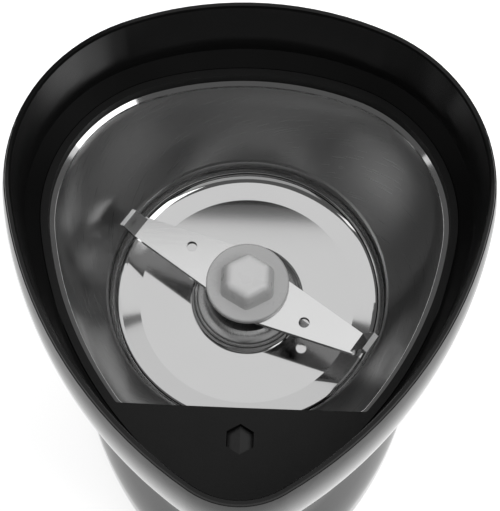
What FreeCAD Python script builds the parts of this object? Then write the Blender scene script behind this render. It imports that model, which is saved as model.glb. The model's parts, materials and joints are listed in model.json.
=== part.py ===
"""Electric spice grinder without its lid: glossy waisted housing, satin deck with a safety
plunger, steel bowl, two-armed blade and the motor that drives it.

Millimetres. Z is up, the ground is z = 0, and the front (the narrow nose) points to -Y.
The origin is on the ground below the middle of the housing. The spindle stands at y = HUB_Y.
Heights are a stack: each level is worked out from the one below it.
"""
import FreeCAD, Part
import math
import os

V = FreeCAD.Vector

# Plan outline: a rounded triangle of six tangent arcs, given at the lip
RIM_WIDTH = 88.0
RIM_LENGTH = 95.0
NOSE_RADIUS = 15.0
SIDE_RADIUS = 80.0
SHOULDER_RADIUS = 32.2
BACK_RADIUS = 61.3

# Housing wall: how far it lies inside the lip outline, and how thick it is
WALL = 2.4
BASE_INSET = 3.9
WAIST_INSET = 9.0
BULGE = 1.2
BASE_BAND = 8.0
WAIST_HEIGHT = 46.0
BULGE_DROP = 10.0
EDGE_ROUND = 0.5
LIP_THICKNESS = 1.1
COLLAR_DRAFT = 0.8
FLANGE_THICKNESS = 2.0
WALL_STEPS = 14

# Collar above the deck
COLLAR_DEPTH = 17.8
STEP_HEIGHT = 2.8

# Seat that holds the deck: how far its outline lies inside the lip's, and how much smaller its arcs are
SEAT_SIDE_INSET = 4.4
SEAT_NOSE_INSET = 3.3
SEAT_BACK_INSET = 4.5
SEAT_NOSE_CUT = 3.1
SEAT_SIDE_CUT = 6.5
SEAT_SHOULDER_CUT = 3.3
SEAT_BACK_CUT = 0.5

# Deck ring with the front shelf
DECK_THICKNESS = 2.6
DECK_OPENING_INSET = 1.6
DECK_CORNER_RADIUS = 0.8
DECK_SKIRT = 1.6
SHELF_DEPTH = 21.7
SHELF_EDGE_Y = SHELF_DEPTH - RIM_LENGTH / 2
STRAIGHT_RADIUS = 2000.0
FIT = 0.15

# Steel bowl
SHEET = 0.6
BOWL_DEPTH = 27.6
BOWL_INSET = 2.5
BOWL_FLANGE_INSET = 0.7
BOWL_FRONT_SETBACK = 0.2
BOWL_FRONT_RADIUS = 400.0
BOWL_CORNER_RADIUS = 4.0
BOWL_ROUNDING = 1.4
RIM_FLARE = 0.9
RIM_FLARE_DROP = 0.45
PAN_DEPTH = 6.6
PAN_STEP = 0.4
PAN_FILLET = 2.8
PAN_FLAT_EDGE = 6.0
PAN_TILT = 10.5
BOSS_BASE_RADIUS = 11.6
BOSS_TOP_RADIUS = 8.4
BOSS_HEIGHT = 4.5
BOSS_BULGE = 0.9
GASKET_THICKNESS = 1.0

# The round pan fills the room between the shelf and the back of the bowl, and the spindle is its centre
PAN_FRONT_GAP = 3.0
PAN_BACK_GAP = 6.5
BOWL_SETBACK = SEAT_BACK_INSET + BOWL_INSET
PAN_RADIUS = (RIM_LENGTH - SHELF_DEPTH - BOWL_SETBACK - PAN_FRONT_GAP - PAN_BACK_GAP) / 2
HUB_SETBACK = BOWL_SETBACK + PAN_BACK_GAP + PAN_RADIUS
HUB_Y = RIM_LENGTH / 2 - HUB_SETBACK

# Blade and what clamps it on the spindle
BLADE_THICKNESS = 1.2
BLADE_ANGLE = 146.5
BLADE_TIP_GAP = 3.2
BLADE_REACH = PAN_RADIUS - BLADE_TIP_GAP
BLADE_ROOT = 5.5
BLADE_ROOT_LEAD = 5.7
BLADE_ROOT_TRAIL = 5.4
BLADE_TIP_LEAD = 0.3
BLADE_TIP_TRAIL = 4.9
BLADE_FLAP = 4.6
BLADE_FLAP_ANGLE = 58.0
BLADE_FLAP_SHIFT = 1.0
BLADE_HOLE_RADIUS = 1.1
BLADE_HOLE_REACH = 13.8
COLLAR_RADIUS = 6.0
COLLAR_HEIGHT = 2.0
DISC_RADIUS = 8.3
DISC_THICKNESS = 1.2
CAP_RADIUS = 6.1
CAP_TOP_RADIUS = 4.6
CAP_HEIGHT = 4.2
CAP_ROUND = 1.6
INSERT_RADIUS = 3.8
INSERT_HEIGHT = 3.4

# Shaft, seal and bearings
SHAFT_RADIUS = 3.0
RUN_FIT = 0.04
SEAL_RADIUS = 4.6
SEAL_FLANGE_RADIUS = 6.4
SEAL_FLANGE = 0.8
SEAL_LIP = 2.4
UPPER_BEARING_RADIUS = 5.5
UPPER_BEARING_HEIGHT = 7.0
LOWER_BEARING_RADIUS = 4.5
LOWER_BEARING_HEIGHT = 6.0
BEARING_WALL = 2.0
BEARING_LIP = 1.0
THRUST_PAD = 0.8
END_FLOAT = 0.05

# Motor stack, from the base plate up to the bowl
MOTOR_FLOOR_GAP = 2.8
PLATE_THICKNESS = 2.5
COMMUTATOR_GAP = 2.5
COMMUTATOR_HEIGHT = 7.0
COMMUTATOR_RADIUS = 7.0
COMMUTATOR_BARS = 12
END_TURNS = 5.5
CORE_HEIGHT = 18.0
FAN_GAP = 1.0
FAN_HEIGHT = 4.5
FAN_CLEARANCE = 1.5
FAN_RADIUS = 16.0
FAN_BLADES = 11
FAN_VENTS = 8
BOWL_GAP = 3.9

# Stator and armature
STATOR_WIDTH = 38.0
STATOR_LENGTH = 42.0
STATOR_CORNER = 5.0
ROTOR_RADIUS = 11.8
AIR_GAP = 0.4
POLE_WIDTH = 14.4
YOKE = 4.2
SIDE_YOKE = 6.5
COIL_THICKNESS = 3.2
SLOT_COUNT = 12
SLOT_RADIUS = 1.6
SLOT_CIRCLE = 9.4
BOLT_RADIUS = 1.5
BOLT_SPACING = 38.0
LEG_WIDTH = 8.0
LEG_THICKNESS = 3.4

# Brush gear
BRUSH_SIZE = 4.4
BRUSH_LENGTH = 8.0
BRUSH_GAP = 0.05
HOLDER_WALL = 0.8
HOLDER_LENGTH = 12.0
BRUSH_SPRING_WIRE = 0.4
BRUSH_SPRING_TURNS = 4
POST_WIDTH = 4.0
POST_DEPTH = 6.0

# Motor mounting on four housing bosses
MOUNT_BOSS_RADIUS = 3.6
MOUNT_BOSS_HEIGHT = 10.0
REAR_BOSS_ANGLE = 50.0
FRONT_BOSS_ANGLE = -38.0
GROMMET_FLANGE = 1.5
GROMMET_RADIUS = 3.6
GROMMET_NECK = 2.6
EAR_RADIUS = 4.4
EAR_GAP = 0.5
SCREW_RADIUS = 1.5
SCREW_HEAD_RADIUS = 2.9
SCREW_HEAD = 1.7
MOTOR_SCREW_LENGTH = 14.0

# Safety plunger in the shelf
PLUNGER_SETBACK = 15.9
PLUNGER_Y = PLUNGER_SETBACK - RIM_LENGTH / 2
PLUNGER_HEX = 2.7
PLUNGER_RECESS = 1.0
PLUNGER_RIDGE = 0.5
PLUNGER_HEAD = 6.2
PLUNGER_TRAVEL = 2.0
PLUNGER_FIT = 0.12
GUIDE_RADIUS = 3.5
GUIDE_LENGTH = 10.6
GUIDE_FLOOR = 1.2
STEM_RADIUS = 1.5
CLIP_RADIUS = 2.6
CLIP_THICKNESS = 0.5
CLIP_GAP = 0.1
PLUNGER_SPRING_WIRE = 0.35
PLUNGER_SPRING_TURNS = 4

# Small snap switch under the plunger
SWITCH_WIDTH = 19.8
SWITCH_DEPTH = 6.4
SWITCH_HEIGHT = 10.0
SWITCH_HOLE_SPACING = 9.5
SWITCH_HOLE_HEIGHT = 3.4
SWITCH_SCREW_RADIUS = 1.1
SWITCH_SCREW_HEAD_RADIUS = 2.0
LEVER_PIVOT_X = -7.5
LEVER_PIVOT_RISE = 0.8
LEVER_LENGTH = 11.5
LEVER_WIDTH = 3.6
LEVER_THICKNESS = 0.4
LEVER_ANGLE = 16.0
LEVER_ROLL = 0.7
PIVOT_PIN = 0.35
EAR_THICKNESS = 0.7
SWITCH_BUTTON_X = -4.5
SWITCH_BUTTON_RADIUS = 0.9
SWITCH_BUTTON_DEPTH = 2.4
CONTACT_GAP = 0.25
RIB_THICKNESS = 1.6
TAB_WIDTH = 3.0
TAB_SHEET = 0.6
TAB_LENGTH = 4.0

# Base plate, feet and its screws
FOOT_STAND = 1.5
FOOT_RADIUS = 4.5
FOOT_RECESS = 1.1
FRONT_FOOT_SETBACK = 14.5
REAR_FOOT_SETBACK = 26.5
REAR_FOOT_SIDE = 16.0
BASE_THICKNESS = 3.2
BASE_FIT = 0.2
BASE_BOSS_RADIUS = 3.4
BASE_BOSS_HEIGHT = 10.0
BASE_SCREW_LENGTH = 9.0
BASE_SCREW_EDGE = 0.8
FRONT_SCREW_ANGLE = -39.4
REAR_SCREW_ANGLE = 72.0
BASE_HEAD_RECESS = 0.5
VENT_COUNT = 7
VENT_PITCH = 4.6
VENT_WIDTH = 2.0
VENT_LENGTH = 22.0

# Cord inlet and the electrical parts on the base plate
GLAND_HEIGHT = 8.0
GLAND_BORE = 3.1
GLAND_NECK = 4.8
GLAND_FLANGE_RADIUS = 6.4
GLAND_FLANGE = 1.6
GLAND_INNER_RADIUS = 5.8
GLAND_GAP = 1.5
TERMINAL_BOX = (13.0, 9.0, 8.0)
ELECTRICS_SETBACK = 23.5
ELECTRICS_X = 17.5
TERMINAL_SCREW_RADIUS = 1.4
CAPACITOR_BOX = (13.0, 6.0, 11.0)
FUSE_RADIUS = 1.6
FUSE_LENGTH = 7.4
WIRE_RADIUS = 0.9

# Levels, from the ground up
base_bottom = FOOT_STAND
base_top = base_bottom + BASE_THICKNESS
thrust_z = base_top + MOTOR_FLOOR_GAP + BEARING_LIP
lower_bearing_z = thrust_z + THRUST_PAD
lower_bearing_top = lower_bearing_z + LOWER_BEARING_HEIGHT
lower_plate_z = lower_bearing_top - PLATE_THICKNESS
commutator_z = lower_bearing_top + COMMUTATOR_GAP
commutator_top = commutator_z + COMMUTATOR_HEIGHT
core_z = commutator_top + FAN_GAP + END_TURNS
core_top = core_z + CORE_HEIGHT
fan_z = core_top + END_TURNS + FAN_GAP
fan_top = fan_z + FAN_HEIGHT
upper_plate_z = fan_top + FAN_CLEARANCE
upper_plate_top = upper_plate_z + PLATE_THICKNESS
tower_top = upper_plate_z + UPPER_BEARING_HEIGHT + BEARING_LIP
floor_z = tower_top + BOWL_GAP + SHEET
boss_top = floor_z + BOSS_HEIGHT
pan_z = floor_z + PAN_DEPTH
rim_z = floor_z + BOWL_DEPTH
flange_z = rim_z - SHEET - GASKET_THICKNESS
deck_top = rim_z + DECK_THICKNESS
lip_z = deck_top + COLLAR_DEPTH
collar_z = boss_top + SEAL_FLANGE + 2 * CONTACT_GAP
blade_z = collar_z + COLLAR_HEIGHT
blade_top = blade_z + BLADE_THICKNESS
disc_top = blade_top + DISC_THICKNESS
mount_boss_top = upper_plate_z - GROMMET_FLANGE
lever_pivot_drop = (STEM_RADIUS + LEVER_THICKNESS / 2 + CONTACT_GAP) / math.cos(math.radians(LEVER_ANGLE))
guide_bottom = rim_z - GUIDE_LENGTH
stem_end = guide_bottom - CLIP_GAP - CLIP_THICKNESS - STEM_RADIUS / 2
lever_reach_rise = -LEVER_PIVOT_X * math.tan(math.radians(LEVER_ANGLE))
lever_pivot_z = stem_end + STEM_RADIUS - lever_pivot_drop - lever_reach_rise
switch_top = lever_pivot_z - LEVER_PIVOT_RISE
switch_z = switch_top - SWITCH_HEIGHT
rear_foot_x = RIM_WIDTH / 2 - REAR_FOOT_SIDE
rear_foot_y = RIM_LENGTH / 2 - REAR_FOOT_SETBACK
front_foot_y = FRONT_FOOT_SETBACK - RIM_LENGTH / 2
foot_points = ((0.0, front_foot_y), (-rear_foot_x, rear_foot_y), (rear_foot_x, rear_foot_y))
electrics_y = RIM_LENGTH / 2 - ELECTRICS_SETBACK


def plan_arcs(half_width, nose_end, back_end, nose, side, shoulder, back):
    """A rounded triangle as six tangent arcs (centre x, centre y, radius, start, end), anticlockwise.

    It is given by its half width, the Y of its nose and back, and the radii of its four kinds of arc.
    """
    nose_y = nose_end + nose
    back_y = back_end - back
    shoulder_x = half_width - shoulder
    shoulder_y = back_y + math.sqrt((back - shoulder) ** 2 - shoulder_x ** 2)
    gap = math.hypot(shoulder_x, shoulder_y - nose_y)
    step = (shoulder_x / gap, (shoulder_y - nose_y) / gap)
    to_nose = side - nose
    to_shoulder = side - shoulder
    along = (to_nose ** 2 - to_shoulder ** 2 + gap ** 2) / (2 * gap)
    across = math.sqrt(to_nose ** 2 - along ** 2)
    side_x = along * step[0] - across * step[1]
    side_y = nose_y + along * step[1] + across * step[0]
    low = math.atan2(nose_y - side_y, -side_x)
    middle = math.atan2(shoulder_y - side_y, shoulder_x - side_x)
    high = math.atan2(shoulder_y - back_y, shoulder_x)
    turn = math.pi
    return (
        (0.0, nose_y, nose, -turn - low, low),
        (side_x, side_y, side, low, middle),
        (shoulder_x, shoulder_y, shoulder, middle, high),
        (0.0, back_y, back, high, turn - high),
        (-shoulder_x, shoulder_y, shoulder, turn - high, turn - middle),
        (-side_x, side_y, side, turn - middle, turn - low),
    )


PLAN = plan_arcs(
    RIM_WIDTH / 2, -RIM_LENGTH / 2, RIM_LENGTH / 2, NOSE_RADIUS, SIDE_RADIUS, SHOULDER_RADIUS, BACK_RADIUS)
SEAT_PLAN = plan_arcs(
    RIM_WIDTH / 2 - SEAT_SIDE_INSET, SEAT_NOSE_INSET - RIM_LENGTH / 2, RIM_LENGTH / 2 - SEAT_BACK_INSET,
    NOSE_RADIUS - SEAT_NOSE_CUT, SIDE_RADIUS - SEAT_SIDE_CUT, SHOULDER_RADIUS - SEAT_SHOULDER_CUT,
    BACK_RADIUS - SEAT_BACK_CUT)
RIGHT_SIDE, RIGHT_SHOULDER, BACK = range(1, 4)


def tray_arcs(inset, front_y, front_radius, corner):
    """The seat's outline with its nose cut off by a nearly straight front.

    Moved inwards by inset, it has its front at front_y and front corners of the given radius.
    """
    side_x, side_y, side_radius, low, middle = SEAT_PLAN[RIGHT_SIDE]
    corner_radius = corner + inset
    front_radius = front_radius + inset
    front_centre = front_y - inset + front_radius
    to_side = side_radius - corner_radius
    to_front = front_radius - corner_radius
    gap = math.hypot(side_x, side_y - front_centre)
    step = (side_x / gap, (side_y - front_centre) / gap)
    along = (to_front ** 2 - to_side ** 2 + gap ** 2) / (2 * gap)
    across = math.sqrt(to_front ** 2 - along ** 2)
    corner_x = along * step[0] - across * step[1]
    corner_y = front_centre + along * step[1] + across * step[0]
    first = math.atan2(corner_y - front_centre, corner_x)
    second = math.atan2(corner_y - side_y, corner_x - side_x)
    turn = math.pi
    return (
        (0.0, front_centre, front_radius, -turn - first, first),
        (corner_x, corner_y, corner_radius, first, second),
        (side_x, side_y, side_radius, second, middle),
    ) + SEAT_PLAN[RIGHT_SHOULDER:-1] + (
        (-side_x, side_y, side_radius, turn - middle, turn - second),
        (-corner_x, corner_y, corner_radius, turn - second, turn - first),
    )


BOWL_PLAN = tray_arcs(BOWL_INSET, SHELF_EDGE_Y - BOWL_FRONT_SETBACK, BOWL_FRONT_RADIUS, BOWL_CORNER_RADIUS)
DECK_PLAN = tray_arcs(DECK_OPENING_INSET, SHELF_EDGE_Y, STRAIGHT_RADIUS, DECK_CORNER_RADIUS)


def ring(z, inset, plan=PLAN, blend=0.0, round_radius=0.0):
    """An outline moved inwards by inset. With blend 1 it is a circle about the spindle."""
    edges = []
    for centre_x, centre_y, radius, start, end in plan:
        r = (radius - inset) * (1 - blend) + round_radius * blend
        x = centre_x * (1 - blend)
        y = centre_y * (1 - blend) + HUB_Y * blend
        points = [V(x + r * math.cos(a), y + r * math.sin(a), z) for a in (start, (start + end) / 2, end)]
        edges.append(Part.Arc(*points).toShape())
    return Part.Wire(edges)


def plan_point(arc, angle, inset):
    """A point on one arc of the outline, moved inwards by inset."""
    centre_x, centre_y, radius = PLAN[arc][:3]
    turn = math.radians(angle)
    return (centre_x + (radius - inset) * math.cos(turn), centre_y + (radius - inset) * math.sin(turn))


def prism(z_low, z_high, inset, plan=PLAN):
    return Part.Face(ring(z_low, inset, plan)).extrude(V(0, 0, z_high - z_low))


def line(start, end):
    return Part.LineSegment(start, end).toShape()


def loft(rings, ruled=False):
    return Part.makeLoft(rings, True, ruled)


def box(x_low, x_high, y_low, y_high, z_low, z_high):
    return Part.makeBox(x_high - x_low, y_high - y_low, z_high - z_low, V(x_low, y_low, z_low))


def cylinder(radius, z_low, z_high, x=0.0, y=HUB_Y):
    return Part.makeCylinder(radius, z_high - z_low, V(x, y, z_low))


def cylinder_along(direction, radius, length, start):
    return Part.makeCylinder(radius, length, V(*start), V(*direction))


def tube(outer, inner, z_low, z_high, x=0.0, y=HUB_Y):
    return cylinder(outer, z_low, z_high, x, y).cut(cylinder(inner, z_low - 1, z_high + 1, x, y))


def turned(points, x=0.0, y=HUB_Y):
    """A solid turned about the upright axis at x, y from (radius, height) corners."""
    corners = [V(x + r, y, z) for r, z in points]
    face = Part.Face(Part.makePolygon(corners + corners[:1]))
    return face.revolve(V(x, y, 0), V(0, 0, 1), 360)


def hexagon_wire(circumradius, z, x, y):
    """A hexagon with a corner pointing along Y."""
    corners = []
    for corner in range(6):
        angle = math.radians(90 + 60 * corner)
        corners.append(V(x + circumradius * math.cos(angle), y + circumradius * math.sin(angle), z))
    return Part.makePolygon(corners + corners[:1])


def hexagon(circumradius, z_low, z_high, x, y):
    return Part.Face(hexagon_wire(circumradius, z_low, x, y)).extrude(V(0, 0, z_high - z_low))


def rounded_block(width, length, z_low, z_high, corner, y=HUB_Y):
    block = box(-width / 2, width / 2, y - length / 2, y + length / 2, z_low, z_high)
    upright = [e for e in block.Edges if abs(e.Vertexes[0].Z - e.Vertexes[-1].Z) > 1e-6]
    return block.makeFillet(corner, upright)


def join(shapes):
    whole = shapes[0]
    for shape in shapes[1:]:
        whole = whole.fuse(shape)
    return whole.removeSplitter()


def take_away(whole, shapes):
    for shape in shapes:
        whole = whole.cut(shape)
    return whole


def around(shape, count, centre=(0.0, HUB_Y)):
    """Copies of a shape at equal steps about an upright axis."""
    copies = []
    for index in range(count):
        copy = shape.copy()
        copy.rotate(V(centre[0], centre[1], 0), V(0, 0, 1), 360.0 * index / count)
        copies.append(copy)
    return copies


def helix_tube(axis_start, axis, side, radius, length, turns, wire):
    """A wire wound round an axis in quarter-turn arcs, as one unbroken tube."""
    axis, side = V(*axis), V(*side)
    third = axis.cross(side)

    def at(turn):
        angle = 2 * math.pi * turn
        return (V(*axis_start) + axis * (length * turn / turns)
                + side * (radius * math.cos(angle)) + third * (radius * math.sin(angle)))

    edges = []
    quarters = int(turns * 4)
    for quarter in range(quarters):
        points = [at((quarter + part) / 4) for part in (0, 0.5, 1)]
        edges.append(Part.Arc(*points).toShape())
    path = Part.Wire(edges)
    heading = edges[0].tangentAt(edges[0].FirstParameter)
    profile = Part.Wire(Part.makeCircle(wire / 2, at(0), heading))
    return path.makePipeShell([profile], True, True)


def save(name, *solids):
    shape = solids[0] if len(solids) == 1 else Part.makeCompound(list(solids))
    if not shape.isValid():
        print("not valid:", name)
    shape.exportStep("parts/" + name + ".step")
    print(name, len(shape.Solids), round(shape.Volume, 1))


def wall_inset(z):
    """Inset of the outer wall at a height: base band, waist, bulge and lip in one flowing line."""
    bulge_z = lip_z - BULGE_DROP
    if z <= BASE_BAND:
        return BASE_INSET
    if z <= WAIST_HEIGHT:
        share = (z - BASE_BAND) / (WAIST_HEIGHT - BASE_BAND)
        return BASE_INSET + (WAIST_INSET - BASE_INSET) * (1 - math.cos(math.pi * share)) / 2
    if z <= bulge_z:
        share = (z - WAIST_HEIGHT) / (bulge_z - WAIST_HEIGHT)
        return WAIST_INSET - (WAIST_INSET + BULGE) * (1 - math.cos(math.pi * share)) / 2
    return -BULGE * (1 - ((z - bulge_z) / BULGE_DROP) ** 2)


def inside_wall(z_low, z_high, extra, steps):
    """The space inside the outer wall moved inwards by extra, with an upright foot up to BASE_BAND."""
    heights = [BASE_BAND + (z_high - BASE_BAND) * step / steps for step in range(steps + 1)]
    upper = loft([ring(z, wall_inset(z) + extra) for z in heights])
    return prism(z_low, BASE_BAND, BASE_INSET + extra).fuse(upper)


def mirrored(points):
    return tuple(points) + tuple((-x, y) for x, y in points)


def mount_bosses(outward=0.0):
    """Plan points of the four bosses that carry the motor, or points moved out towards the wall."""
    inset = WAIST_INSET + WALL + EAR_RADIUS + EAR_GAP - outward
    rear = plan_point(RIGHT_SHOULDER, REAR_BOSS_ANGLE, inset)
    front = plan_point(RIGHT_SIDE, FRONT_BOSS_ANGLE, inset)
    return mirrored((rear, front))


def base_bosses(outward=0.0):
    """Plan points of the four base screws, or points moved out towards the wall."""
    inset = BASE_INSET + WALL + BASE_FIT + BASE_SCREW_EDGE + SCREW_HEAD_RADIUS - outward
    rear = plan_point(BACK, REAR_SCREW_ANGLE, inset)
    front = plan_point(RIGHT_SIDE, FRONT_SCREW_ANGLE, inset)
    return mirrored((rear, front))


gland_y = RIM_LENGTH / 2 - BASE_INSET + FIT
gland_z = base_top + GLAND_HEIGHT
rib_y = PLUNGER_Y + SWITCH_DEPTH / 2
bowl_clear_inset = BOWL_INSET - SHEET - FIT
hole_margin = 1.0


def outer_housing():
    foot_top = base_bottom + EDGE_ROUND
    lip_low = lip_z - EDGE_ROUND
    foot = loft([ring(base_bottom, BASE_INSET + EDGE_ROUND), ring(foot_top, BASE_INSET)], True)
    lip = loft([ring(lip_low, 0.0), ring(lip_z, EDGE_ROUND / 2)], True)
    body = foot.fuse(inside_wall(foot_top, lip_low, 0.0, WALL_STEPS)).fuse(lip)
    body = body.cut(inside_wall(base_bottom - hole_margin, flange_z - FLANGE_THICKNESS, WALL, WALL_STEPS))
    step_top = deck_top + STEP_HEIGHT
    collar_inset = LIP_THICKNESS + COLLAR_DRAFT
    pocket = prism(flange_z, deck_top, 0.0, SEAT_PLAN)
    step = loft([ring(deck_top, 0.0, SEAT_PLAN), ring(step_top, collar_inset)], True)
    collar = loft([ring(step_top, collar_inset), ring(lip_z - EDGE_ROUND, LIP_THICKNESS)], True)
    mouth = loft([ring(lip_z - EDGE_ROUND, LIP_THICKNESS), ring(lip_z, LIP_THICKNESS - EDGE_ROUND / 2)], True)
    opening = prism(flange_z - FLANGE_THICKNESS - hole_margin, flange_z, bowl_clear_inset, BOWL_PLAN)
    body = take_away(body, [pocket, step, collar, mouth, opening])
    additions = []
    for x, y in mount_bosses() + mount_bosses(MOUNT_BOSS_RADIUS):
        column = cylinder(MOUNT_BOSS_RADIUS, mount_boss_top - MOUNT_BOSS_HEIGHT, mount_boss_top, x, y)
        additions.append(column)
    for x, y in base_bosses() + base_bosses(BASE_BOSS_RADIUS):
        additions.append(cylinder(BASE_BOSS_RADIUS, base_top, base_top + BASE_BOSS_HEIGHT, x, y))
    half = SWITCH_WIDTH / 2
    rib_top = flange_z - FLANGE_THICKNESS
    rib = box(-half, half, rib_y, rib_y + RIB_THICKNESS, switch_z, rib_top + hole_margin)
    gap = GUIDE_RADIUS + hole_margin
    rib = rib.cut(box(-gap, gap, rib_y - 1, rib_y + RIB_THICKNESS + 1, switch_top + hole_margin, rib_top + 2))
    additions.append(rib)
    outside = inside_wall(base_bottom, flange_z, WALL / 2, WALL_STEPS)
    body = join([body] + [piece.common(outside) for piece in additions])
    holes = [cylinder(GUIDE_RADIUS + FIT, flange_z - FLANGE_THICKNESS - 1, flange_z + 1, 0, PLUNGER_Y)]
    for x, y in mount_bosses():
        holes.append(cylinder(SCREW_RADIUS, mount_screw_tip(), mount_boss_top + 1, x, y))
    for x, y in base_bosses():
        holes.append(cylinder(SCREW_RADIUS, base_top - 1, base_screw_tip(), x, y))
    for x in switch_hole_xs():
        start = (x, rib_y - 1, switch_z + SWITCH_HOLE_HEIGHT)
        holes.append(cylinder_along((0, 1, 0), SWITCH_SCREW_RADIUS, RIB_THICKNESS + 2, start))
    start = (0, gland_y - 3 * WALL, gland_z)
    holes.append(cylinder_along((0, 1, 0), GLAND_NECK, 6 * WALL, start))
    return take_away(body, holes)


def mount_screw_tip():
    return mount_screw_head() - MOTOR_SCREW_LENGTH


def mount_screw_head():
    return upper_plate_top + GROMMET_FLANGE


def base_screw_head():
    return base_bottom + BASE_HEAD_RECESS + SCREW_HEAD


def base_screw_tip():
    return base_screw_head() + BASE_SCREW_LENGTH


def switch_hole_xs():
    return (-SWITCH_HOLE_SPACING / 2, SWITCH_HOLE_SPACING / 2)


def bowl_deck():
    plate = prism(rim_z, deck_top, FIT, SEAT_PLAN)
    skirt = prism(flange_z, rim_z, FIT, SEAT_PLAN)
    skirt = skirt.cut(prism(flange_z - 1, rim_z + 1, FIT + DECK_SKIRT, SEAT_PLAN))
    nose = box(-RIM_WIDTH, RIM_WIDTH, -RIM_LENGTH, PLUNGER_Y, flange_z - 1, rim_z + 1)
    guide = cylinder(GUIDE_RADIUS, guide_bottom, rim_z, 0, PLUNGER_Y)
    opening = prism(rim_z - 1, deck_top + 1, DECK_OPENING_INSET, DECK_PLAN)
    deck = join([plate, skirt.common(nose), guide]).cut(opening)
    bore = hexagon(PLUNGER_HEX + PLUNGER_FIT, guide_bottom + GUIDE_FLOOR, deck_top + 1, 0, PLUNGER_Y)
    stem_hole = cylinder(STEM_RADIUS + PLUNGER_FIT, guide_bottom - 1, deck_top, 0, PLUNGER_Y)
    return take_away(deck, [bore, stem_hole])


def bowl_rings(thickness):
    """Rings of the bowl wall from the rim down to the round pan."""
    rings = []
    steps = 6
    for step in range(steps + 1):
        share = step / steps
        z = rim_z - (rim_z - pan_z) * share
        blend = share ** BOWL_ROUNDING
        rings.append(ring(z, BOWL_INSET - thickness, BOWL_PLAN, blend, PAN_RADIUS + thickness))
    return rings


def bowl_shell(thickness):
    """The bowl's inner space, or with a thickness its outer form."""
    wall = loft(bowl_rings(thickness))
    pan_r = PAN_RADIUS + thickness
    floor = floor_z - thickness
    wall_r = pan_r - PAN_STEP
    fillet = PAN_FILLET + thickness
    tilt = math.radians(PAN_TILT)
    flat_r = PAN_RADIUS - PAN_STEP - PAN_FLAT_EDGE + thickness * math.tan(tilt / 2)
    fillet_r = wall_r - fillet
    rim_start_r = fillet_r + fillet * math.sin(tilt)
    rim_start_z = floor + (rim_start_r - flat_r) * math.tan(tilt)
    fillet_z = rim_start_z + fillet * math.cos(tilt)
    start = V(0, HUB_Y, 0)

    def at(r, z):
        return start + V(r, 0, z)

    def on_fillet(turn):
        return at(fillet_r + fillet * math.sin(turn), fillet_z - fillet * math.cos(turn))

    low_wall, rim_start = at(wall_r, fillet_z), at(rim_start_r, rim_start_z)
    boss_base = at(BOSS_BASE_RADIUS - thickness, floor)
    boss_edge = at(BOSS_TOP_RADIUS - thickness, boss_top - thickness)
    across = boss_edge - boss_base
    outward = V(across.z, 0, -across.x).normalize()
    boss_middle = (boss_base + boss_edge) / 2 + outward * BOSS_BULGE
    centre_top = at(0, boss_top - thickness)
    points = [at(0, pan_z), at(pan_r, pan_z), at(wall_r, pan_z - PAN_STEP), low_wall]
    flat_edge = at(flat_r, floor)
    edges = [line(a, b) for a, b in zip(points, points[1:])]
    edges.append(Part.Arc(low_wall, on_fillet((tilt + math.pi / 2) / 2), rim_start).toShape())
    edges += [line(rim_start, flat_edge), line(flat_edge, boss_base)]
    edges.append(Part.Arc(boss_base, boss_middle, boss_edge).toShape())
    edges += [line(boss_edge, centre_top), line(centre_top, points[0])]
    pan = Part.Face(Part.Wire(edges)).revolve(start, V(0, 0, 1), 360)
    return wall.fuse(pan)


def steel_bowl():
    flange = prism(rim_z - SHEET, rim_z, BOWL_FLANGE_INSET, BOWL_PLAN)
    body = bowl_shell(SHEET).fuse(flange)
    low = ring(rim_z - RIM_FLARE_DROP, BOWL_INSET, BOWL_PLAN)
    high = ring(rim_z, BOWL_INSET - RIM_FLARE, BOWL_PLAN)
    neck = cylinder(SEAL_RADIUS, floor_z, boss_top + 1)
    return take_away(body, [bowl_shell(0.0), loft([low, high], True), neck])


def bowl_gasket():
    outer = prism(flange_z, rim_z - SHEET, BOWL_FLANGE_INSET, BOWL_PLAN)
    return outer.cut(prism(flange_z - 1, rim_z, bowl_clear_inset, BOWL_PLAN))


def plate(corners, z, thickness):
    """A flat plate over a polygon of plan corners."""
    points = [V(x, y, z) for x, y in corners]
    return Part.Face(Part.makePolygon(points + points[:1])).extrude(V(0, 0, thickness))


def blade_arm():
    """One arm in its own frame: it runs out along +X from the spindle and ends in a raised flap."""
    flat = plate([
        (0, BLADE_ROOT_TRAIL), (0, -BLADE_ROOT_LEAD), (BLADE_ROOT, -BLADE_ROOT_LEAD),
        (BLADE_REACH, BLADE_TIP_LEAD), (BLADE_REACH, BLADE_TIP_TRAIL), (BLADE_ROOT, BLADE_ROOT_TRAIL),
    ], blade_z, BLADE_THICKNESS)
    tip = BLADE_REACH + BLADE_FLAP
    flap = plate([
        (BLADE_REACH, BLADE_TIP_LEAD), (tip, BLADE_TIP_LEAD + BLADE_FLAP_SHIFT),
        (tip, BLADE_TIP_TRAIL + BLADE_FLAP_SHIFT / 2), (BLADE_REACH, BLADE_TIP_TRAIL),
    ], blade_z, BLADE_THICKNESS)
    flap.rotate(V(BLADE_REACH, 0, blade_z), V(0, 1, 0), -BLADE_FLAP_ANGLE)
    hole = Part.makeCylinder(BLADE_HOLE_RADIUS, BLADE_THICKNESS + 2, V(BLADE_HOLE_REACH, 0, blade_z - 1))
    return flat.fuse(flap).cut(hole)


def blade():
    arm = blade_arm()
    other = arm.copy()
    other.rotate(V(0, 0, 0), V(0, 0, 1), 180)
    hub = Part.makeCylinder(DISC_RADIUS - 1, BLADE_THICKNESS, V(0, 0, blade_z))
    whole = join([arm, other, hub])
    whole = whole.cut(Part.makeCylinder(SHAFT_RADIUS, BLADE_THICKNESS + 2, V(0, 0, blade_z - 1)))
    whole.rotate(V(0, 0, 0), V(0, 0, 1), BLADE_ANGLE)
    whole.translate(V(0, HUB_Y, 0))
    return whole


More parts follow.
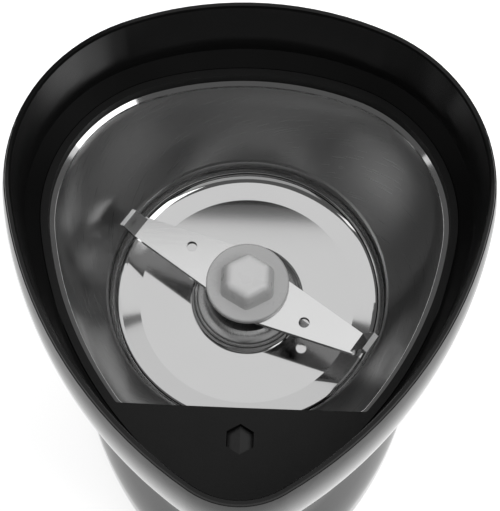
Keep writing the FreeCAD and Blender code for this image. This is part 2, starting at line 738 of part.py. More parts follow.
def hub_nut():
    """Flanged nut of pale plastic with a rounded six-sided cap."""
    disc = cylinder(DISC_RADIUS, blade_top, disc_top)
    upper = [e for e in disc.Edges if abs(e.BoundBox.ZMin - disc_top) < 1e-6 and e.Length > 1]
    disc = disc.makeFillet(DISC_THICKNESS / 3, upper)
    foot = hexagon_wire(CAP_RADIUS, disc_top, 0, HUB_Y)
    top = hexagon_wire(CAP_TOP_RADIUS, disc_top + CAP_HEIGHT, 0, HUB_Y)
    cap = loft([foot, top], True)
    free = [e for e in cap.Edges if e.BoundBox.ZMax > disc_top + CAP_HEIGHT / 2]
    nut = disc.fuse(cap.makeFillet(CAP_ROUND, free))
    return nut.cut(cylinder(INSERT_RADIUS, blade_top, blade_top + INSERT_HEIGHT)).removeSplitter()


def drive_shaft():
    low = lower_bearing_z + END_FLOAT
    return cylinder(SHAFT_RADIUS, low, blade_top + INSERT_HEIGHT)


def shaft_seal():
    bore = SHAFT_RADIUS + RUN_FIT
    return turned([
        (bore, boss_top - SHEET - SEAL_LIP), (SEAL_RADIUS + SEAL_FLANGE, boss_top - SHEET - SEAL_LIP / 2),
        (SEAL_RADIUS + SEAL_FLANGE, boss_top - SHEET), (SEAL_RADIUS, boss_top - SHEET),
        (SEAL_RADIUS, boss_top), (SEAL_FLANGE_RADIUS, boss_top),
        (SEAL_FLANGE_RADIUS - SEAL_FLANGE, boss_top + SEAL_FLANGE), (bore, boss_top + SEAL_FLANGE),
    ])


def upper_bracket():
    rear, front, rear_left, front_left = mount_bosses()
    slab = plate((rear, front, front_left, rear_left), upper_plate_z, PLATE_THICKNESS)
    ears = [cylinder(EAR_RADIUS, upper_plate_z, upper_plate_top, x, y) for x, y in mount_bosses()]
    tower = cylinder(UPPER_BEARING_RADIUS + BEARING_WALL, upper_plate_z, tower_top)
    reach = BOLT_SPACING / 2 + LEG_THICKNESS / 2
    half_leg = LEG_WIDTH / 2
    spine = box(-half_leg, half_leg, HUB_Y - reach, HUB_Y + reach, upper_plate_z, upper_plate_top)
    legs = []
    for side in (-1, 1):
        y = HUB_Y + side * BOLT_SPACING / 2
        half = LEG_THICKNESS / 2
        legs.append(box(-LEG_WIDTH / 2, LEG_WIDTH / 2, y - half, y + half, core_top, upper_plate_z))
    bracket = join([slab, spine, tower] + ears + legs)
    holes = [
        cylinder(UPPER_BEARING_RADIUS, upper_plate_z - 1, upper_plate_z + UPPER_BEARING_HEIGHT),
        cylinder(SHAFT_RADIUS + FIT + 1, upper_plate_z, tower_top + 1),
    ]
    holes += [cylinder(GROMMET_NECK, upper_plate_z - 1, upper_plate_top + 1, x, y) for x, y in mount_bosses()]
    vent_r = (UPPER_BEARING_RADIUS + BEARING_WALL + FAN_RADIUS) / 2
    vent = cylinder(BEARING_WALL, upper_plate_z - 1, upper_plate_top + 1, vent_r, HUB_Y)
    holes += around(vent, FAN_VENTS)
    for side in (-1, 1):
        y = HUB_Y + side * BOLT_SPACING / 2
        holes.append(cylinder(BOLT_RADIUS, core_top - 1, upper_plate_top - 1, 0, y))
    return take_away(bracket, holes)


def lower_bracket():
    reach = BOLT_SPACING / 2 + LEG_THICKNESS / 2
    half_leg = LEG_WIDTH / 2
    bar = box(-half_leg, half_leg, HUB_Y - reach, HUB_Y + reach, lower_plate_z, lower_bearing_top)
    arm_reach = COMMUTATOR_RADIUS + HOLDER_LENGTH + 1
    arm = box(-arm_reach, arm_reach, HUB_Y - half_leg, HUB_Y + half_leg, lower_plate_z, lower_bearing_top)
    hub = cylinder(LOWER_BEARING_RADIUS + BEARING_WALL, thrust_z - BEARING_LIP, lower_bearing_top)
    parts = [bar, arm, hub]
    for side in (-1, 1):
        y = HUB_Y + side * BOLT_SPACING / 2
        half = LEG_THICKNESS / 2
        parts.append(box(-half_leg, half_leg, y - half, y + half, lower_plate_z, core_z))
        x = side * (COMMUTATOR_RADIUS + HOLDER_LENGTH * 0.6)
        half_w, half_d = POST_WIDTH / 2, POST_DEPTH / 2
        low_y, high_y = HUB_Y - half_d, HUB_Y + half_d
        parts.append(box(x - half_w, x + half_w, low_y, high_y, lower_bearing_top, holder_z()))
    bracket = join(parts)
    holes = [
        cylinder(LOWER_BEARING_RADIUS, thrust_z, lower_bearing_top + 1),
    ]
    for side in (-1, 1):
        y = HUB_Y + side * BOLT_SPACING / 2
        holes.append(cylinder(BOLT_RADIUS, lower_plate_z - 1, core_z + 1, 0, y))
    return take_away(bracket, holes)


def stator_core():
    block = rounded_block(STATOR_WIDTH, STATOR_LENGTH, core_z, core_top, STATOR_CORNER)
    holes = [cylinder(ROTOR_RADIUS + AIR_GAP, core_z - 1, core_top + 1)]
    slot_x = STATOR_WIDTH / 2 - SIDE_YOKE
    slot_y = STATOR_LENGTH / 2 - YOKE
    for side_x in (-1, 1):
        for side_y in (-1, 1):
            xs = sorted((side_x * POLE_WIDTH / 2, side_x * slot_x))
            ys = sorted((side_y * POLE_WIDTH / 2, side_y * slot_y))
            holes.append(box(xs[0], xs[1], HUB_Y + ys[0], HUB_Y + ys[1], core_z - 1, core_top + 1))
    for side in (-1, 1):
        holes.append(cylinder(BOLT_RADIUS, core_z - 1, core_top + 1, 0, HUB_Y + side * BOLT_SPACING / 2))
    return take_away(block, holes)


def field_coils():
    """Two windings, each a flat rounded ring round one pole."""
    coils = []
    outer_x = STATOR_WIDTH / 2 - SIDE_YOKE - FIT
    inner_x = POLE_WIDTH / 2
    bulge = END_TURNS - FIT
    for side in (-1, 1):
        y_far = HUB_Y + side * (STATOR_LENGTH / 2 - YOKE - FIT)
        y_near = y_far - side * COIL_THICKNESS
        low, high = sorted((y_far, y_near))
        outer = box(-outer_x, outer_x, low, high, core_z - bulge, core_top + bulge)
        round_edges = [e for e in outer.Edges if abs(e.Vertexes[0].Y - e.Vertexes[-1].Y) > 1e-6]
        outer = outer.makeFillet(bulge * 0.8, round_edges)
        inner = box(-inner_x, inner_x, low - 1, high + 1, core_z, core_top)
        coils.append(outer.cut(inner))
    return coils


def armature_core():
    core = cylinder(ROTOR_RADIUS, core_z, core_top)
    slot = cylinder(SLOT_RADIUS, core_z - 1, core_top + 1, SLOT_CIRCLE, HUB_Y)
    half = SLOT_RADIUS / 3
    mouth = box(SLOT_CIRCLE, ROTOR_RADIUS + 1, HUB_Y - half, HUB_Y + half, core_z - 1, core_top + 1)
    cuts = around(slot.fuse(mouth), SLOT_COUNT)
    return take_away(core, cuts).cut(cylinder(SHAFT_RADIUS, core_z - 1, core_top + 1))


def armature_winding():
    """Copper in the slots, with a rounded bundle of end turns above and below."""
    rod = cylinder(SLOT_RADIUS, core_z, core_top, SLOT_CIRCLE, HUB_Y)
    outer = SLOT_CIRCLE + SLOT_RADIUS + FIT
    shoulder = END_TURNS * 0.4
    reach = END_TURNS - FIT
    ends = []
    for base, way in ((core_z, -1), (core_top, 1)):
        ends.append(turned([
            (SHAFT_RADIUS, base), (outer, base), (outer, base + way * shoulder),
            (outer - shoulder, base + way * reach), (SHAFT_RADIUS, base + way * reach),
        ]))
    return join(ends + around(rod, SLOT_COUNT))


def commutator():
    radius = COMMUTATOR_RADIUS
    drum = turned([
        (SHAFT_RADIUS, commutator_z), (radius, commutator_z), (radius, commutator_top - 1),
        (radius + 1, commutator_top - 1), (radius + 1, commutator_top), (SHAFT_RADIUS, commutator_top),
    ])
    slit = box(radius - 0.6, radius + 2, HUB_Y - 0.2, HUB_Y + 0.2, commutator_z - 1, commutator_top + 1)
    return take_away(drum, around(slit, COMMUTATOR_BARS))


def cooling_fan():
    disc = cylinder(FAN_RADIUS, fan_z, fan_z + 1)
    hub = cylinder(SHAFT_RADIUS + BEARING_WALL, fan_z, fan_top)
    vane = box(SHAFT_RADIUS + 1, FAN_RADIUS, HUB_Y - 0.5, HUB_Y + 0.5, fan_z, fan_top)
    return join([disc, hub] + around(vane, FAN_BLADES)).cut(cylinder(SHAFT_RADIUS, fan_z - 1, fan_top + 1))


def holder_z():
    return (commutator_z + commutator_top) / 2 - BRUSH_SIZE / 2 - HOLDER_WALL - 0.5


def brush_gear():
    """Brushes, their holders and springs, one of each on either side of the commutator."""
    middle = holder_z() + HOLDER_WALL + BRUSH_SIZE / 2
    half = BRUSH_SIZE / 2
    wall = half + HOLDER_WALL
    near = COMMUTATOR_RADIUS + BRUSH_GAP
    holder_near = COMMUTATOR_RADIUS + 2
    holder_far = COMMUTATOR_RADIUS + HOLDER_LENGTH
    keep_clear = cylinder(near, commutator_z - 2, commutator_top + 2)
    brushes, holders, springs = [], [], []
    for side in (-1, 1):
        xs = sorted((side * (near - 1), side * (near + BRUSH_LENGTH)))
        brush = box(xs[0], xs[1], HUB_Y - half, HUB_Y + half, middle - half, middle + half)
        brushes.append(brush.cut(keep_clear))
        xs = sorted((side * holder_near, side * holder_far))
        shell = box(xs[0], xs[1], HUB_Y - wall, HUB_Y + wall, middle - wall, middle + wall)
        cap = HOLDER_WALL * side
        ends = sorted((side * (holder_near - 1), side * holder_far - cap))
        bore = box(ends[0], ends[1], HUB_Y - half, HUB_Y + half, middle - half, middle + half)
        holders.append(shell.cut(bore))
        start = side * (near + BRUSH_LENGTH + BRUSH_SPRING_WIRE / 2)
        length = holder_far - HOLDER_WALL - near - BRUSH_LENGTH - BRUSH_SPRING_WIRE
        springs.append(helix_tube(
            (start, HUB_Y, middle), (side, 0, 0), (0, 0, 1), half * 0.7, length,
            BRUSH_SPRING_TURNS, BRUSH_SPRING_WIRE))
    return brushes, holders, springs


def motor_bolts():
    bolts = []
    for side in (-1, 1):
        y = HUB_Y + side * BOLT_SPACING / 2
        shank = cylinder(BOLT_RADIUS, lower_plate_z, upper_plate_top - 1, 0, y)
        head = cylinder(SCREW_HEAD_RADIUS, lower_plate_z - SCREW_HEAD, lower_plate_z, 0, y)
        bolts.append(shank.fuse(head))
    return bolts


def screw(x, y, under_head, tip, up):
    """A pan-head screw with a crossed recess. up is 1 for a head on top, -1 for one below."""
    low, high = sorted((under_head, tip))
    shank = cylinder(SCREW_RADIUS, low, high, x, y)
    face = under_head + up * SCREW_HEAD
    low, high = sorted((under_head, face))
    body = shank.fuse(cylinder(SCREW_HEAD_RADIUS, low, high, x, y))
    low, high = sorted((face + up, face - up * SCREW_HEAD / 2))
    arm, half = SCREW_HEAD_RADIUS * 0.6, SCREW_RADIUS / 4
    body = body.cut(box(x - arm, x + arm, y - half, y + half, low, high))
    return body.cut(box(x - half, x + half, y - arm, y + arm, low, high)).removeSplitter()


def motor_grommets():
    grommets = []
    for x, y in mount_bosses():
        top = upper_plate_top + GROMMET_FLANGE
        grommets.append(turned([
            (SCREW_RADIUS, mount_boss_top), (GROMMET_RADIUS, mount_boss_top), (GROMMET_RADIUS, upper_plate_z),
            (GROMMET_NECK, upper_plate_z), (GROMMET_NECK, upper_plate_top), (GROMMET_RADIUS, upper_plate_top),
            (GROMMET_RADIUS, top), (SCREW_RADIUS, top),
        ], x, y))
    return grommets


def plunger_head_z():
    return deck_top - PLUNGER_RECESS - PLUNGER_HEAD


def switch_plunger():
    top = deck_top - PLUNGER_RECESS
    head = hexagon(PLUNGER_HEX, plunger_head_z(), top, 0, PLUNGER_Y)
    reach = PLUNGER_HEX
    roof = [(-reach, plunger_head_z() - 1), (reach, plunger_head_z() - 1), (reach, top - PLUNGER_RIDGE),
            (0, top), (-reach, top - PLUNGER_RIDGE)]
    corners = [V(x, PLUNGER_Y - 2 * reach, z) for x, z in roof]
    roof = Part.Face(Part.makePolygon(corners + corners[:1])).extrude(V(0, 4 * reach, 0))
    stem = cylinder(STEM_RADIUS, stem_end + STEM_RADIUS, plunger_head_z(), 0, PLUNGER_Y)
    foot = Part.makeSphere(STEM_RADIUS, V(0, PLUNGER_Y, stem_end + STEM_RADIUS))
    groove = tube(STEM_RADIUS + 1, STEM_RADIUS * 0.7, clip_z(), clip_z() + CLIP_THICKNESS, 0, PLUNGER_Y)
    return join([head.common(roof), stem, foot]).cut(groove)


def clip_z():
    return guide_bottom - CLIP_GAP - CLIP_THICKNESS


def plunger_clip():
    ring_shape = tube(CLIP_RADIUS, STEM_RADIUS * 0.7, clip_z(), clip_z() + CLIP_THICKNESS, 0, PLUNGER_Y)
    gap = STEM_RADIUS * 0.5
    front = PLUNGER_Y - 2 * CLIP_RADIUS
    mouth = box(-gap, gap, front, PLUNGER_Y, clip_z() - 1, clip_z() + CLIP_THICKNESS + 1)
    return ring_shape.cut(mouth)


def plunger_spring():
    wire = PLUNGER_SPRING_WIRE
    low = guide_bottom + GUIDE_FLOOR + wire / 2
    length = plunger_head_z() - low - wire / 2
    radius = STEM_RADIUS + wire / 2 + FIT
    return helix_tube((0, PLUNGER_Y, low), (0, 0, 1), (1, 0, 0), radius, length, PLUNGER_SPRING_TURNS, wire)


def switch_body():
    half = SWITCH_WIDTH / 2
    front, back = rib_y - SWITCH_DEPTH, rib_y
    case = box(-half, half, front, back, switch_z, switch_top)
    middle = (front + back) / 2
    parts = [case]
    for side in (-1, 1):
        inner = middle + side * (LEVER_WIDTH / 2 + FIT)
        low, high = sorted((inner, inner + side * EAR_THICKNESS))
        ear_x = LEVER_ROLL + EAR_THICKNESS / 2
        ear_top = lever_pivot_z + LEVER_ROLL
        parts.append(box(LEVER_PIVOT_X - ear_x, LEVER_PIVOT_X + ear_x, low, high, switch_top, ear_top))
    start = (LEVER_PIVOT_X, middle - LEVER_WIDTH / 2 - FIT - EAR_THICKNESS, lever_pivot_z)
    length = LEVER_WIDTH + 2 * FIT + 2 * EAR_THICKNESS
    parts.append(cylinder_along((0, 1, 0), PIVOT_PIN, length, start))
    tab_half, sheet_half = TAB_WIDTH / 2, TAB_SHEET / 2
    for x in (TAB_WIDTH - half, half - TAB_WIDTH):
        low_y, high_y = middle - sheet_half, middle + sheet_half
        parts.append(box(x - tab_half, x + tab_half, low_y, high_y, switch_z - TAB_LENGTH, switch_z))
    body = join(parts)
    roll_room = LEVER_ROLL + FIT
    start = (LEVER_PIVOT_X, middle - LEVER_WIDTH / 2 - FIT, lever_pivot_z)
    groove = cylinder_along((0, 1, 0), roll_room, LEVER_WIDTH + 2 * FIT, start)
    pin = cylinder_along((0, 1, 0), PIVOT_PIN, LEVER_WIDTH + 2 * FIT, start)
    body = body.cut(groove.cut(pin))
    well_bottom = switch_top - SWITCH_BUTTON_DEPTH
    holes = [cylinder(SWITCH_BUTTON_RADIUS + RUN_FIT, well_bottom, switch_top + 1, SWITCH_BUTTON_X, middle)]
    for x in switch_hole_xs():
        start = (x, front - 1, switch_z + SWITCH_HOLE_HEIGHT)
        holes.append(cylinder_along((0, 1, 0), SWITCH_SCREW_RADIUS, SWITCH_DEPTH + 2, start))
    return take_away(body, holes)


def lever_arm_angle():
    """Turn of the lever, in radians, while the plunger goes down its whole travel."""
    return PLUNGER_TRAVEL / -LEVER_PIVOT_X


def switch_lever():
    middle = rib_y - SWITCH_DEPTH / 2
    y_low = middle - LEVER_WIDTH / 2
    under = lever_pivot_z - LEVER_THICKNESS / 2
    strip = Part.makeBox(LEVER_LENGTH, LEVER_WIDTH, LEVER_THICKNESS, V(LEVER_PIVOT_X, y_low, under))
    roll = cylinder_along((0, 1, 0), LEVER_ROLL, LEVER_WIDTH, (LEVER_PIVOT_X, y_low, lever_pivot_z))
    start = (LEVER_PIVOT_X, y_low - 1, lever_pivot_z)
    bore = cylinder_along((0, 1, 0), PIVOT_PIN + RUN_FIT, LEVER_WIDTH + 2, start)
    lever = strip.fuse(roll).cut(bore)
    lever.rotate(V(LEVER_PIVOT_X, middle, lever_pivot_z), V(0, 1, 0), -LEVER_ANGLE)
    return lever


def switch_button():
    middle = rib_y - SWITCH_DEPTH / 2
    arm = SWITCH_BUTTON_X - LEVER_PIVOT_X
    slope = math.radians(LEVER_ANGLE)
    under = lever_pivot_z + arm * math.tan(slope) - LEVER_THICKNESS / 2 / math.cos(slope)
    top = under - CONTACT_GAP - SWITCH_BUTTON_RADIUS * math.tan(slope)
    travel = arm * lever_arm_angle()
    bottom = switch_top - SWITCH_BUTTON_DEPTH + travel + CONTACT_GAP
    return cylinder(SWITCH_BUTTON_RADIUS, bottom, top, SWITCH_BUTTON_X, middle)


def switch_screws():
    screws = []
    for x in switch_hole_xs():
        z = switch_z + SWITCH_HOLE_HEIGHT
        front = rib_y - SWITCH_DEPTH
        shank = cylinder_along((0, 1, 0), SWITCH_SCREW_RADIUS, SWITCH_DEPTH + RIB_THICKNESS, (x, front, z))
        head = cylinder_along((0, 1, 0), SWITCH_SCREW_HEAD_RADIUS, 1.2, (x, front - 1.2, z))
        screws.append(shank.fuse(head))
    return screws


def base_plate():
    plate = prism(base_bottom, base_top, BASE_INSET + WALL + BASE_FIT)
    cuts = [cylinder(FOOT_RADIUS, base_bottom - 1, base_bottom + FOOT_RECESS, x, y) for x, y in foot_points]
    for x, y in base_bosses():
        cuts.append(cylinder(SCREW_RADIUS, base_bottom - 1, base_top + 1, x, y))
        cuts.append(cylinder(SCREW_HEAD_RADIUS + FIT, base_bottom - 1, base_screw_head(), x, y))
    for index in range(VENT_COUNT):
        low_x = (index - (VENT_COUNT - 1) / 2) * VENT_PITCH - VENT_WIDTH / 2
        low_y = HUB_Y - VENT_LENGTH / 2
        slit = box(low_x, low_x + VENT_WIDTH, low_y, low_y + VENT_LENGTH, base_bottom - 1, base_top + 1)
        cuts.append(slit)
    return take_away(plate, cuts)


def rubber_feet():
    feet = []
    for x, y in foot_points:
        foot = cylinder(FOOT_RADIUS, 0, base_bottom + FOOT_RECESS, x, y)
        sole = [e for e in foot.Edges if abs(e.BoundBox.ZMax) < 1e-6]
        feet.append(foot.makeFillet(FOOT_STAND / 3, sole))
    return feet


def cord_gland():
    """Rubber bush in the back wall, with a flange on either side of it."""
    grip = WALL + GLAND_GAP
    start = (0, gland_y - grip, gland_z)
    neck = cylinder_along((0, 1, 0), GLAND_NECK, grip + GLAND_FLANGE, start)
    outside = cylinder_along((0, 1, 0), GLAND_FLANGE_RADIUS, GLAND_FLANGE, (0, gland_y, gland_z))
    rim = [e for e in outside.Edges if abs(e.BoundBox.YMin - gland_y - GLAND_FLANGE) < 1e-6 and e.Length > 1]
    outside = outside.makeFillet(GLAND_FLANGE / 2, rim)
    start = (0, gland_y - grip - GLAND_FLANGE, gland_z)
    inside = cylinder_along((0, 1, 0), GLAND_INNER_RADIUS, GLAND_FLANGE, start)
    start = (0, gland_y - grip - GLAND_FLANGE - 1, gland_z)
    bore = cylinder_along((0, 1, 0), GLAND_BORE, grip + 2 * GLAND_FLANGE + 2, start)
    return join([neck, outside, inside]).cut(bore)


def standing_box(size, x):
    """A block of the given width, depth and height that stands on the base plate at x."""
    width, depth, height = size
    low_y = electrics_y - depth / 2
    return box(x - width / 2, x + width / 2, low_y, low_y + depth, base_top, base_top + height)


def terminal_block():
    block = standing_box(TERMINAL_BOX, ELECTRICS_X)
    pitch = TERMINAL_BOX[0] / 4
    holes = []
    for side in (-1, 1):
        x = ELECTRICS_X + side * pitch
        top = base_top + TERMINAL_BOX[2]
        holes.append(cylinder(TERMINAL_SCREW_RADIUS, base_top + 2, top + 1, x, electrics_y))
        start = (x, electrics_y - TERMINAL_BOX[1], base_top + TERMINAL_BOX[2] * 0.4)
        holes.append(cylinder_along((0, 1, 0), WIRE_RADIUS + FIT, 2 * TERMINAL_BOX[1], start))
    return take_away(block, holes)


def terminal_screws():
    pitch = TERMINAL_BOX[0] / 4
    low = base_top + TERMINAL_BOX[2] * 0.4 + WIRE_RADIUS + FIT
    high = base_top + TERMINAL_BOX[2] - 1
    xs = (ELECTRICS_X - pitch, ELECTRICS_X + pitch)
    return [cylinder(TERMINAL_SCREW_RADIUS, low, high, x, electrics_y) for x in xs]


def noise_capacitor():
    block = standing_box(CAPACITOR_BOX, -ELECTRICS_X)
    return block.makeFillet(0.6, block.Edges)


def thermal_fuse():
    """Cut-out laid on the stator beside the bracket's leg, against the front field coil."""
    y = HUB_Y - (STATOR_LENGTH / 2 - YOKE - FIT) - FUSE_RADIUS
    start = (LEG_WIDTH / 2 + FIT, y, core_top + FUSE_RADIUS)
    return cylinder_along((1, 0, 0), FUSE_RADIUS, FUSE_LENGTH, start)


def main():
    os.makedirs("parts", exist_ok=True)
    save("outer_housing", outer_housing())
    save("bowl_deck", bowl_deck())
    save("steel_bowl", steel_bowl())
    save("bowl_gasket", bowl_gasket())
    save("blade", blade())
    save("blade_collar", tube(COLLAR_RADIUS, SHAFT_RADIUS, collar_z, blade_z))
    save("hub_nut", hub_nut())
    save("hub_nut_insert", tube(INSERT_RADIUS, SHAFT_RADIUS, blade_top, blade_top + INSERT_HEIGHT))
    save("drive_shaft", drive_shaft())
    save("shaft_seal", shaft_seal())
    bore = SHAFT_RADIUS + RUN_FIT
    bearing_top = upper_plate_z + UPPER_BEARING_HEIGHT
    save("upper_bearing", tube(UPPER_BEARING_RADIUS, bore, upper_plate_z, bearing_top))
    save("lower_bearing", tube(LOWER_BEARING_RADIUS, bore, lower_bearing_z, lower_bearing_top))
    save("thrust_pad", cylinder(LOWER_BEARING_RADIUS, thrust_z, lower_bearing_z))
    save("upper_bracket", upper_bracket())
    save("lower_bracket", lower_bracket())
    save("stator_core", stator_core())
    save("field_coils", *field_coils())
    save("armature_core", armature_core())
    save("armature_winding", armature_winding())
    save("commutator", commutator())
    save("cooling_fan", cooling_fan())
    brushes, holders, springs = brush_gear()
    save("carbon_brushes", *brushes)
    save("brush_holders", *holders)
    save("brush_springs", *springs)
    save("motor_bolts", *motor_bolts())
    save("motor_grommets", *motor_grommets())
    save("motor_screws", *[screw(x, y, mount_screw_head(), mount_screw_tip(), 1) for x, y in mount_bosses()])
    save("switch_plunger", switch_plunger())
    save("plunger_clip", plunger_clip())
    save("plunger_spring", plunger_spring())
    save("switch_body", switch_body())
    save("switch_lever", switch_lever())
    save("switch_button", switch_button())
    save("switch_screws", *switch_screws())
    save("thermal_fuse", thermal_fuse())
    save("base_plate", base_plate())
    save("base_screws", *[screw(x, y, base_screw_head(), base_screw_tip(), -1) for x, y in base_bosses()])
    save("rubber_feet", *rubber_feet())
    save("cord_gland", cord_gland())
    save("terminal_block", terminal_block())
    save("terminal_screws", *terminal_screws())
    save("noise_capacitor", noise_capacitor())


main()
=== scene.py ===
"""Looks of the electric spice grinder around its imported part. Metres, Z up, front towards -Y."""

import json
import math
import bpy
from mathutils import Euler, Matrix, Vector

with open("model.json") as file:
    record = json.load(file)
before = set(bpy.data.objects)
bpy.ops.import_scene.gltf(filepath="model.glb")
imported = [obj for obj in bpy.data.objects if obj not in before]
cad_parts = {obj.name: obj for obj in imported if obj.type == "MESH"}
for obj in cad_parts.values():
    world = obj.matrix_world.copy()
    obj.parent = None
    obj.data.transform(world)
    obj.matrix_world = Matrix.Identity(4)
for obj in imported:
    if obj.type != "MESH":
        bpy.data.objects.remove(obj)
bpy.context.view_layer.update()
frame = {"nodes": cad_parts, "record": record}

MM = 0.001

# The camera that the photo's outline, shelf and blade give, in millimetres and degrees
CAMERA_PLACE = (2.92, -103.11, 384.38)
CAMERA_TURN = (20.883, -0.333, 2.197)
IMAGE_HEIGHT = 511
FOCAL_PIXELS = 1602.0
SENSOR = 36.0
CLIP_START = 0.01

# Heights and distances of the object that its finishes follow, in millimetres
HUB_Y = 5.6
PAN_FILLET_LOW = 75.2
PAN_FILLET_HIGH = 79.0
BOWL_RIM = 101.9
RIM_POLISH_START = 1.0
RIM_POLISH_FULL = 0.4
# Foot and top of the nut's cap; the painted highlight on the cap rises between them
CAP_FOOT = 85.5
CAP_TOP = 88.7
BLADE_TURN = 33.5

# Noise: the part of its range that is used, and the size of the soft clouds
NOISE_LOW = 0.3
NOISE_HIGH = 0.7
CLOUD_SCALE = 0.08
CLOUD_DETAIL = 2.0

# Bowl: how fine and how slanted the brushing of the wall is, and its gloss and grey
STREAKS_PER_RADIAN = 3.0
STREAKS_PER_MM = 6.0
WALL_LEAN = -14.0
WALL_ROUGHNESS = (0.27, 0.31)
WALL_ANISOTROPY = 0.6
WALL_RELIEF = 0.0005
PAN_ROUGHNESS = 0.06
BOWL_CLOUD_SCALE = 0.05
STEEL_GREYS = (0.48, 0.51)

# Housing: the inside of the collar is duller, and the two levels tell how squarely a face looks inwards
COLLAR_ROUGHNESS = 0.24
FACES_IN_START = -6.0
FACES_IN_FULL = -16.0

# Nut: grey at its flange, and a paler grey on its cap that is a painted highlight
NYLON_FLANGE = 0.68
NYLON_CAP_PAINTED_HIGHLIGHT = 0.97
NYLON_ROUGHNESS = (0.26, 0.32)
NYLON_CLOUD_SCALE = 0.3
NYLON_RELIEF = 0.01

# Surroundings, in metres, and the levels of the floor and of the sky
FLOOR_HALF = 3.0
FLOOR_GREY = 0.85
FLOOR_ROUGHNESS = 0.9
FLOOR_GLOW = 0.75
SKY_GREY = 0.15


def grey(level):
    return (level, level, level)


def coordinates(nodes, links, stretch=(1.0, 1.0, 1.0), turn=0.0):
    """Object coordinates in millimetres, stretched and turned about Z."""
    source = nodes.new("ShaderNodeTexCoord")
    mapping = nodes.new("ShaderNodeMapping")
    mapping.inputs["Scale"].default_value = [value / MM for value in stretch]
    mapping.inputs["Rotation"].default_value = (0.0, 0.0, math.radians(turn))
    links.new(source.outputs["Object"], mapping.inputs["Vector"])
    return mapping.outputs["Vector"]


def noise(nodes, links, vector, scale, detail=3.0, roughness=0.55):
    texture = nodes.new("ShaderNodeTexNoise")
    texture.inputs["Scale"].default_value = scale
    texture.inputs["Detail"].default_value = detail
    texture.inputs["Roughness"].default_value = roughness
    links.new(vector, texture.inputs["Vector"])
    return texture.outputs["Fac"]


def spread(nodes, links, value, low, high):
    """Maps the used range of a noise onto low..high."""
    node = nodes.new("ShaderNodeMapRange")
    node.inputs["From Min"].default_value = NOISE_LOW
    node.inputs["From Max"].default_value = NOISE_HIGH
    node.inputs["To Min"].default_value = low
    node.inputs["To Max"].default_value = high
    links.new(value, node.inputs["Value"])
    return node.outputs["Result"]


def ramp(nodes, links, value, low, high):
    """Rises from 0 to 1 while a value goes from low to high."""
    node = nodes.new("ShaderNodeMapRange")
    node.interpolation_type = "SMOOTHSTEP"
    node.inputs["From Min"].default_value = low
    node.inputs["From Max"].default_value = high
    links.new(value, node.inputs["Value"])
    return node.outputs["Result"]


def tint(nodes, links, value, first, second):
    """Mixes two colours by a value."""
    node = nodes.new("ShaderNodeMix")
    node.data_type = "RGBA"
    node.inputs["A"].default_value = (*first, 1.0)
    node.inputs["B"].default_value = (*second, 1.0)
    links.new(value, node.inputs["Factor"])
    return node.outputs["Result"]


def feed(links, socket, end):
    """Gives a socket a number, or links it to an output."""
    if isinstance(end, (int, float)):
        socket.default_value = end
    else:
        links.new(end, socket)


def blend(nodes, links, value, first, second):
    """Mixes two numbers, or outputs, by a value."""
    node = nodes.new("ShaderNodeMix")
    feed(links, node.inputs["A"], first)
    feed(links, node.inputs["B"], second)
    links.new(value, node.inputs["Factor"])
    return node.outputs["Result"]


def math_node(nodes, links, operation, first, second):
    node = nodes.new("ShaderNodeMath")
    node.operation = operation
    feed(links, node.inputs[0], first)
    feed(links, node.inputs[1], second)
    return node.outputs["Value"]


def bump(nodes, links, value, depth, bsdf):
    """Relief of the given depth in millimetres."""
    node = nodes.new("ShaderNodeBump")
    node.inputs["Strength"].default_value = 1.0
    node.inputs["Distance"].default_value = depth * MM
    links.new(value, node.inputs["Height"])
    links.new(node.outputs["Normal"], bsdf.inputs["Normal"])


def new_material(name):
    """An empty material with its nodes, links and surface shader."""
    material = bpy.data.materials.new(name)
    material.use_nodes = True
    nodes, links = material.node_tree.nodes, material.node_tree.links
    return material, nodes, links, nodes["Principled BSDF"]


def finish(name, colour, rough, metal=0.0, vary=0.12, grain=2.0, relief=0.01,
           stretch=(1, 1, 1), turn=0.0, shine=0.5):
    """A procedural finish: slight changes of colour and gloss, and a fine relief."""
    material, nodes, links, bsdf = new_material(name)
    bsdf.inputs["Metallic"].default_value = metal
    bsdf.inputs["Specular IOR Level"].default_value = shine
    pattern = noise(nodes, links, coordinates(nodes, links, stretch, turn), grain)
    cloud = noise(nodes, links, coordinates(nodes, links), CLOUD_SCALE, CLOUD_DETAIL)
    low = [c * (1 - vary) for c in colour]
    high = [min(1.0, c * (1 + vary)) for c in colour]
    links.new(tint(nodes, links, cloud, low, high), bsdf.inputs["Base Color"])
    gloss = spread(nodes, links, pattern, rough * (1 - vary), rough * (1 + vary))
    links.new(gloss, bsdf.inputs["Roughness"])
    bump(nodes, links, pattern, relief, bsdf)
    return material


def height_above_ground(nodes, links):
    split = nodes.new("ShaderNodeSeparateXYZ")
    links.new(coordinates(nodes, links), split.inputs["Vector"])
    return split.outputs["Z"]


def turning_lines(nodes, links):
    """Streaks that run round the spindle and lean up or down on their way."""
    split = nodes.new("ShaderNodeSeparateXYZ")
    links.new(coordinates(nodes, links), split.inputs["Vector"])
    from_hub = math_node(nodes, links, "SUBTRACT", split.outputs["Y"], HUB_Y)
    angle = math_node(nodes, links, "ARCTAN2", split.outputs["X"], from_hub)
    leaning = math_node(nodes, links, "MULTIPLY", angle, WALL_LEAN)
    level = math_node(nodes, links, "ADD", split.outputs["Z"], leaning)
    join = nodes.new("ShaderNodeCombineXYZ")
    links.new(math_node(nodes, links, "MULTIPLY", angle, STREAKS_PER_RADIAN), join.inputs["X"])
    links.new(math_node(nodes, links, "MULTIPLY", level, STREAKS_PER_MM), join.inputs["Y"])
    return noise(nodes, links, join.outputs["Vector"], 1.0, 2.0, 0.6)


